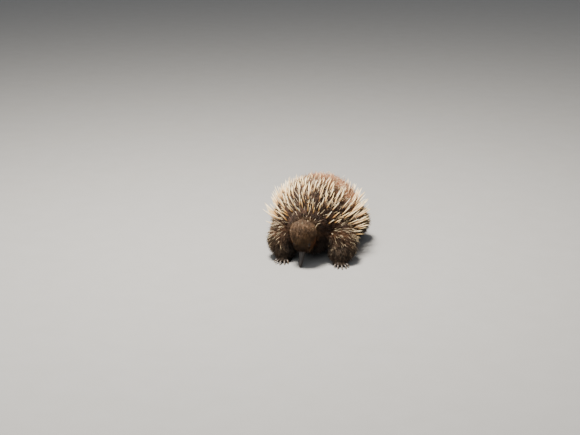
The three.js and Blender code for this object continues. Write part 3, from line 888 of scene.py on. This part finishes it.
def chest_look(roots, outs):
    """The chest's fur hangs down and back between the forelegs."""
    lies = flattened(np.array([0.0, 0.5, -1.0]), outs)
    lengths = mix(25, 14, smooth_step(-0.5, -0.9, outs[:, 2]))
    return lies, lengths, np.full(len(roots), 46.0), np.full(len(roots), 0.7)


def neck_look(roots, outs):
    lies = flattened(np.array([0.0, 1.0, 0.0]), outs)
    return lies, np.full(len(roots), 18.0), np.full(len(roots), 46.0), np.full(len(roots), 0.65)


def neck_density(points):
    """No tufts where the neck runs inside the trunk."""
    return (neck_distance(points) < 12) * 1.0


def tube_look(places, length, lean, width, feathered=0.0, sweep=0.0):
    """The coat of a leg or the tail, which lies down it and is longer on its rear side. High on a leg it
    also sweeps out and back."""
    def look(roots, outs):
        steps = np.linspace(0, 1, 40)
        centres, tangents = curve_at(places, steps)
        gaps = np.linalg.norm(roots[:, None] - centres[None], axis=-1)
        outer = np.stack([0.5 * np.sign(roots[:, 0]), np.full(len(roots), 0.8), np.zeros(len(roots))], 1)
        swept = sweep * smooth_step(25, 75, roots[:, 2])[:, None]
        lies = flattened(tangents[np.argmin(gaps, 1)] + outer * swept, outs)
        rear = np.clip(outs[:, 1], 0, 1) + 0.6 * np.abs(outs[:, 0])
        lengths = length * (1 + feathered * rear) * mix(0.5, 1.0, smooth_step(6, 42, roots[:, 2]))
        return lies, lengths, np.full(len(roots), lean), np.full(len(roots), width)
    return look


def foot_look(limb):
    def look(roots, outs):
        angle = math.radians(limb["heading"])
        ahead = np.array([math.sin(angle), -math.cos(angle), -0.5])
        lies = flattened(ahead, outs)
        lengths = mix(4.5, 9.0, smooth_step(5, 16, roots[:, 2]))
        return lies, lengths, np.full(len(roots), 62.0), np.full(len(roots), 0.6)
    return look


def head_look(roots, outs):
    """The face's short fur, which lies back from the beak, and grows longer on the cheeks and the nape."""
    lies = flattened(on_head([0, 1, 0]) - on_head([0, 0, 0]), outs)
    _, y, z = head_frame(roots).T
    face = smooth_step(12, -38, y)
    cheek = smooth_step(4, -10, z) * smooth_step(-4, -24, y) * smooth_step(-46, -36, y)
    lengths = mix(mix(14, 5, face), 10, cheek)
    leans = mix(mix(53, 66, face), 52, cheek)
    return lies, lengths, leans, mix(0.65, 0.42, face)


def head_density(points):
    """Fur thins out down the root of the beak, and stops round the eyes."""
    return 1 - bareness(points.reshape(-1, 3)).reshape(points.shape[:-1])


def spine_rows():
    """The roots of the spines, in rows round the back from the nape to the rump, as ends and turns."""
    ends, turns = [], []
    tops = -np.cos(np.linspace(0, math.pi, 4000))
    lengths = np.cumsum(np.linalg.norm(np.diff(trunk_point(tops, np.full(4000, math.pi / 2), UNDERFUR), axis=0), axis=1))
    for stop in np.arange(SPINE["spacing"], lengths[-1], SPINE["spacing"]):
        end = tops[np.searchsorted(lengths, stop)]
        rounds = np.linspace(-math.pi / 2, 1.5 * math.pi, 1500)
        ring = trunk_point(np.full(1500, end), rounds, UNDERFUR)
        reach = np.cumsum(np.linalg.norm(np.diff(ring, axis=0), axis=1))
        stops = np.arange(random.uniform(0, SPINE["spacing"]), reach[-1], SPINE["spacing"])
        picked = rounds[np.minimum(np.searchsorted(reach, stops), 1499)]
        turns.append(picked + random.normal(0, 0.012, len(picked)))
        ends.append(np.clip(end + random.normal(0, 0.008, len(picked)), -0.9999, 0.9999))
    return np.concatenate(ends), np.concatenate(turns)


def neck_distance(points):
    """How far points lie behind the plane that parts the neck from the trunk."""
    slope = normalized(np.array([0.0, NECK_TOP[1] - NECK_FOOT[1], NECK_FOOT[0] - NECK_TOP[0]]))
    return points @ slope - np.dot(slope, [0.0, *NECK_FOOT])


def make_spines(body, material):
    end, turn = spine_rows()
    roots = trunk_point(end, turn, UNDERFUR)
    outs = surface_directions(lambda e, t: trunk_point(e, t, UNDERFUR), end, turn)
    centre = np.array([0, TRUNK["middle"], TRUNK["level"]])
    outs = outs * np.sign(dot(outs, roots - centre))
    behind = neck_distance(roots)
    lowest = np.where(roots[:, 0] > 0, SPINE_LOWEST["left"], SPINE_LOWEST["right"])
    keep = (roots[:, 2] > lowest) & (behind > 3)
    for i in np.flatnonzero(keep):
        root = Vector((roots[i] + OFFSET) * MM)
        near, way, _, _ = body.find_nearest(root)
        keep[i] = (root - near).dot(way) > 0.6 * UNDERFUR * MM
    x, y, z = roots.T
    crown = smooth_step(0, 80, y + 0.9 * x) * smooth_step(95, 135, z) * smooth_step(120, 85, y)
    top = smooth_step(0.8, 0.5, np.abs(outs[:, 0])) * smooth_step(100, 70, y)
    keep &= random.random(len(crown)) > np.maximum(0.65 * crown, 0.22 * top)
    end, turn, roots, outs, behind = end[keep], turn[keep], roots[keep], outs[keep], behind[keep]
    beside = np.abs(outs[:, 0])
    rise = np.where(outs[:, 0] > 0, SPINE_RISE["left"], SPINE_RISE["right"]) * beside
    back = flattened(np.stack([0 * rise, 1 + 0 * rise, rise], 1), outs)
    middle = mix(SPINE_LEANS["flank"], SPINE_LEANS["top"], np.clip(outs[:, 2], 0, 1))
    leans = mix(middle, SPINE_LEANS["ends"], outs[:, 1] ** 2) + random.normal(0, 4, len(middle))
    directions = leaning(outs, back, leans, 0.09)
    full = mix(SPINE["top"], SPINE["flank"], smooth_step(0.5, 0.95, beside))
    lengths = mix(SPINE["nape"], full, np.clip(behind / SPINE["growth"], 0, 1))
    high = smooth_step(-30, 50, roots[:, 1]) * smooth_step(95, 135, roots[:, 2])
    lengths = lengths * random.uniform(0.82, 1.06, len(lengths)) * mix(1, 0.84, crown[keep])
    sunk = UNDERFUR / np.cos(np.radians(np.minimum(leans, 72))) + 2
    steps = 7
    starts = roots - directions * sunk[:, None]
    bend = flattened(random.normal(size=outs.shape), directions) * 0.035
    share = np.linspace(0, 1, steps)[None, :, None]
    long = (lengths + sunk)[:, None, None]
    paths = starts[:, None] + long * (directions[:, None] * share + bend[:, None] * (share**2 - share))
    profile = np.interp(np.linspace(0, 1, steps)[1:-1], [0, 0.35, 0.6, 0.85, 1], [0.75, 1.0, 0.95, 0.6, 0.1])
    radii = SPINE["radius"] * random.uniform(0.85, 1.15, len(lengths)) * mix(1, 0.78, high)
    widths = radii[:, None] * profile[None]
    maps = bake_places(end, turn, FORMS["trunk"]["map"])
    shades = random.random(len(lengths)) * mix(1, 0.45, high)
    roll = random.uniform(0, math.pi, len(lengths))
    pieces = []
    for name, rows in (("spines_front", roots[:, 1] < 20), ("spines_rear", roots[:, 1] >= 20)):
        piece = strand_mesh(name, paths[rows], widths[rows], outs[rows], roll[rows], 1.0, SPINE["sides"],
                            maps[rows], dict(shade=shades[rows]), material)
        pieces.append(piece)
    return pieces


def even(points):
    return np.ones(points.shape[:-1])


# The forms that carry fur: the surface and whose skin it is, its rectangle of the bake map, how dense its
# tufts are, the steps along a tuft, the share of them that are pale bristles, and how much of their shade
# comes in streaks.

def form(point, skin, rectangle, density=even, steps=5, bristles=0.0, streaks=0.65):
    return dict(point=point, skin=skin, map=rectangle, density=density, steps=steps, bristles=bristles,
                streaks=streaks)


FORMS = {
    "trunk": form(trunk_point, "body", (0.0, 0.0, 1.0, 0.5), trunk_density, bristles=0.05),
    "head": form(head_point, "head", (0.0, 0.5, 0.3, 0.8), head_density, steps=4, bristles=0.03, streaks=0.3),
    "beak": form(beak_point, "head", (0.0, 0.8, 0.3, 1.0), head_density, steps=4, streaks=0.3),
    "neck": form(tube_point(**NECK), "head", (0.3, 0.75, 0.5, 1.0), neck_density, bristles=0.03),
    "tail": form(tube_point(**TAIL), "body", (0.3, 0.5, 0.4, 0.75), bristles=0.05),
    "chest": form(chest_point, "body", (0.4, 0.5, 0.5, 0.75)),
}
for place, (leg_name, leg_limb) in enumerate(LIMBS.items()):
    left, right = 0.5 + 0.125 * place, 0.62 + 0.125 * place
    leg_point = tube_point(leg_limb["places"], leg_limb["sizes"])
    FORMS[leg_name] = form(leg_point, "body", (left, 0.5, right, 0.8), bristles=0.1)
    foot_name = leg_name.replace("leg", "foot")
    FORMS[foot_name] = form(foot_point(leg_limb), "body", (left, 0.8, right, 1.0), steps=4)


def make_coat(skins, material):
    looks = {
        "trunk": (52000, trunk_look),
        "head": (12000, head_look),
        "beak": (2500, head_look),
        "neck": (4500, neck_look),
        "tail": (2600, tube_look(TAIL["places"], 20, 60, 0.8)),
        "chest": (5000, chest_look),
    }
    for name, limb in LIMBS.items():
        looks[name] = (5200, tube_look(limb["places"], 19, 50, 0.7, feathered=0.45, sweep=0.9))
        looks[name.replace("leg", "foot")] = (1500, foot_look(limb))
    pieces = []
    for name, (count, look) in looks.items():
        pieces += coat_pieces(f"coat_{name}", FORMS[name], count, look, skins, material)
    return pieces


# Eyes and claws

def make_eyes(material):
    pieces = []
    for name, side in (("left", 1), ("right", -1)):
        x, y, z = EYE["place"]
        points, triangles = grid_mesh(ball_point((EYE["radius"],) * 3), 40, 24)
        points = on_head(points + [side * x, y, z])
        piece = mesh_object(f"eyeball_{name}", points, outward(points, triangles), material)
        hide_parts(f"eye_{name}")
        pieces.append(piece)
    return pieces


def claw_mesh(length, half_width, flat, turn_out, limb):
    """One claw, with a ridge along its top, and the share of its length at each corner."""
    front = -FOOT["half_length"]
    places = ((0, front + CLAW["sunk"], 0), (0, front - length * 0.5, 1), (0, front - length, -CLAW["drop"]))
    sizes = [share * half_width for share in CLAW["taper"]]
    points, triangles = grid_mesh(tube_point(places, sizes, flat=flat), 20, 22)
    share = np.clip((front + CLAW["sunk"] - points[:, 1]) / (length + CLAW["sunk"]), 0, 1)
    ridge = np.exp(-((points[:, 0] / (0.35 * half_width)) ** 2)) * (1 - share)
    points[:, 2] += 0.25 * ridge * (points[:, 2] > 0)
    points = turned(points, (0, 0, CLAW["height"]), 0, turn_out)
    points = turned(points, limb["foot"], 0, limb["heading"])
    return points, outward(points, triangles), share


def make_claws(material):
    pieces = []
    for name, limb in LIMBS.items():
        pair, side = name.split("leg_")
        claws = CLAWS[pair]
        way = -1 if side == "left" else 1
        made = [
            claw_mesh(length, claws["half_width"], claws["flat"], turn * way, limb)
            for length, turn in zip(claws["lengths"], claws["turns"])
        ]
        points, triangles = joined([(points, triangles) for points, triangles, _ in made])
        piece = mesh_object(f"claws_{pair}_{side}", points, triangles, material)
        add_values(piece, tip=np.concatenate([share for _, _, share in made]))
        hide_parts(*[f"claw_{pair}_{side}_{i + 1}" for i in range(len(made))])
        pieces.append(piece)
    return pieces


# The floor, light and camera

def add_light(name, place, target, size, energy, colour):
    data = bpy.data.lights.new(name, "AREA")
    data.shape = "SQUARE"
    data.size = size
    data.energy = energy
    data.color = colour
    light = bpy.data.objects.new(name, data)
    light.location = place
    light.rotation_euler = (Vector(target) - Vector(place)).to_track_quat("-Z", "Y").to_euler()
    bpy.context.scene.collection.objects.link(light)


def make_stage():
    mesh = bpy.data.meshes.new("floor")
    half = 6.0
    corners = [(-half, -half, 0), (half, -half, 0), (half, half, 0), (-half, half, 0)]
    mesh.from_pydata(corners, [], [(0, 1, 2, 3)])
    mesh.materials.append(floor_material())
    floor = bpy.data.objects.new("floor", mesh)
    bpy.context.scene.collection.objects.link(floor)
    world = bpy.data.worlds.new("studio")
    world.use_nodes = True
    world.node_tree.nodes["Background"].inputs[0].default_value = (0.80, 0.86, 0.95, 1)
    world.node_tree.nodes["Background"].inputs[1].default_value = 0.36
    bpy.context.scene.world = world
    middle = (0, 0, 0.1)
    add_light("key", (-0.35, -0.15, 2.2), middle, 0.55, 215, (1.0, 0.96, 0.90))
    add_light("front", (-0.5, -2.4, 1.6), middle, 1.8, 30, (0.95, 0.97, 1.0))


def make_camera():
    a, e = math.radians(CAMERA["azimuth"]), math.radians(CAMERA["elevation"])
    right = Vector((math.cos(a), math.sin(a), 0))
    level = Vector((-math.sin(a), math.cos(a), 0))
    towards = math.cos(e) * level - math.sin(e) * Vector((0, 0, 1))
    up = math.cos(e) * Vector((0, 0, 1)) + math.sin(e) * level
    aside = (PICTURE[0] / 2 - PICTURE_PLACE[0]) * MM_PER_PIXEL * MM
    above = (PICTURE_PLACE[1] - PICTURE[1] / 2) * MM_PER_PIXEL * MM
    target = Vector(OFFSET * MM) + aside * right + above * up
    data = bpy.data.cameras.new("camera")
    data.lens = CAMERA["lens"]
    data.sensor_width = CAMERA["sensor"]
    camera = bpy.data.objects.new("camera", data)
    camera.location = target - towards * CAMERA["distance"]
    camera.rotation_euler = towards.to_track_quat("-Z", "Y").to_euler()
    bpy.context.scene.collection.objects.link(camera)
    bpy.context.scene.camera = camera


# The whole

make_camera()
make_stage()
skin, shells = make_skin(skin_material())
flesh = [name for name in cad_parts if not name.startswith(("claw_", "eye_"))]
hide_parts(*flesh)
pieces = [skin, *make_coat(shells, fur_material()), *make_spines(shells[0], spine_material())]
pieces += [*make_eyes(eye_material()), *make_claws(claw_material())]
for piece in pieces:
    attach(piece, "root")
